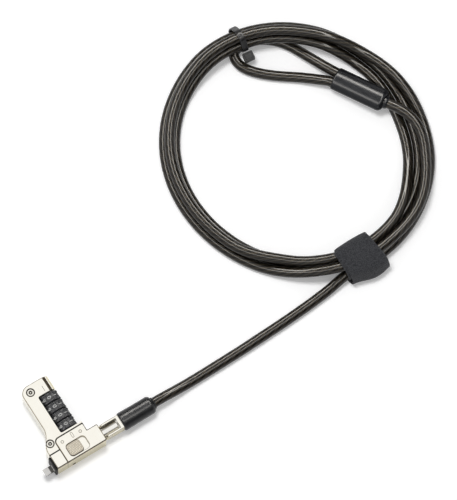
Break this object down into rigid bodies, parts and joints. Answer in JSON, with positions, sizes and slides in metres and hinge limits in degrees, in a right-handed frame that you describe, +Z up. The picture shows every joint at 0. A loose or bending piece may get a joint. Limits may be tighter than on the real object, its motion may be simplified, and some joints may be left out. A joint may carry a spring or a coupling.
{
  "type": "laptop cable lock",
  "caption": "Laptop cable lock: combination head with number wheels, thumb latch and slot nose on a swivelling yoke, with a coiled, coated steel cable ending in an eye.",
  "frame": {"origin": "on the head's flat underside, beside the number wheels; the whole lock lies on z = 0", "axes": "+X from the locking nose towards the cable, +Y along the arm that holds the number wheels to its free end, +Z up out of the face with the index mark"},
  "size_m": [0.2923, 0.1653, 0.0202],
  "materials": {
    "nickel": "satin champagne nickel, zinc casting",
    "steel": "machined, bright",
    "chrome": "polished",
    "screw": "nickel plated, security drive",
    "wheel": "black, light grey digits",
    "rubber": "soft, matte",
    "black_plastic": "moulded, satin black",
    "ferrule_plastic": "shrunk on, glossy black",
    "cable_coat": "smoked clear coat over twisted steel strands",
    "strap": "hook and loop, charcoal",
    "nylon": "black nylon"
  },
  "bodies": {
    "cable": {"cable_sleeve": "black_plastic", "yoke": "nickel", "yoke_pin": "steel", "crimp_barrel": "steel", "cable_lead": "cable_coat", "cable_coil": "cable_coat", "cable_eye": "cable_coat", "ferrule_cover": "ferrule_plastic", "ferrule_crimp": "steel", "strap": "strap", "tie_band": "nylon", "tie_head": "nylon"},
    "post": {"swivel_post": "chrome", "post_ring": "steel"},
    "head": {"base_shell": "nickel", "arm_cover": "nickel", "latch_cover": "nickel", "nose_block": "nickel", "face_pad": "rubber", "nose_hook": "steel", "hook_rivets": "steel", "cover_screws": "screw", "detent_comb": "steel"},
    "latch": {"latch_carriage": "steel", "lock_pin": "steel", "thumb_pad": "nickel", "latch_spring": "steel"},
    "spindle": {"spindle": "steel", "spindle_spring": "steel"},
    "dial_1": {"wheel_1": "wheel", "wheel_hub_1": "steel"},
    "dial_2": {"wheel_2": "wheel", "wheel_hub_2": "steel"},
    "dial_3": {"wheel_3": "wheel", "wheel_hub_3": "steel"},
    "dial_4": {"wheel_4": "wheel", "wheel_hub_4": "steel"},
    "reset": {"reset_plunger": "steel", "reset_spring": "steel"}
  },
  "joints": [
    {"name": "yoke_pivot", "type": "hinge", "parent": "cable", "child": "post", "pos_m": [0.0228, -0.0262, 0.0064], "axis": [0, 1, 0], "range_deg": [-90, 90]},
    {"name": "swivel", "type": "hinge", "parent": "post", "child": "head", "pos_m": [0.019, -0.0262, 0.0064], "axis": [1, 0, 0], "continuous": true},
    {"name": "latch_slide", "type": "slide", "parent": "head", "child": "latch", "axis": [1, 0, 0], "range_m": [0, 0.0036], "stiffness_N_per_m": 400, "springref_m": -0.002},
    {"name": "spindle_slide", "type": "slide", "parent": "head", "child": "spindle", "axis": [0, 1, 0], "range_m": [0, 0.002]},
    {"name": "dial_1_turn", "type": "hinge", "parent": "head", "child": "dial_1", "pos_m": [0.0044, 0.00595, 0.0065], "axis": [0, 1, 0], "continuous": true},
    {"name": "dial_2_turn", "type": "hinge", "parent": "head", "child": "dial_2", "pos_m": [0.0044, 0.00005, 0.0065], "axis": [0, 1, 0], "continuous": true},
    {"name": "dial_3_turn", "type": "hinge", "parent": "head", "child": "dial_3", "pos_m": [0.0044, -0.00585, 0.0065], "axis": [0, 1, 0], "continuous": true},
    {"name": "dial_4_turn", "type": "hinge", "parent": "head", "child": "dial_4", "pos_m": [0.0044, -0.01175, 0.0065], "axis": [0, 1, 0], "continuous": true},
    {"name": "reset_press", "type": "slide", "parent": "head", "child": "reset", "axis": [0, 1, 0], "range_m": [0, 0.0012], "stiffness_N_per_m": 300, "springref_m": -0.001}
  ],
  "couplings": [
    {"joint": "spindle_slide", "follows": "latch_slide", "ratio": 0.5556}
  ]
}
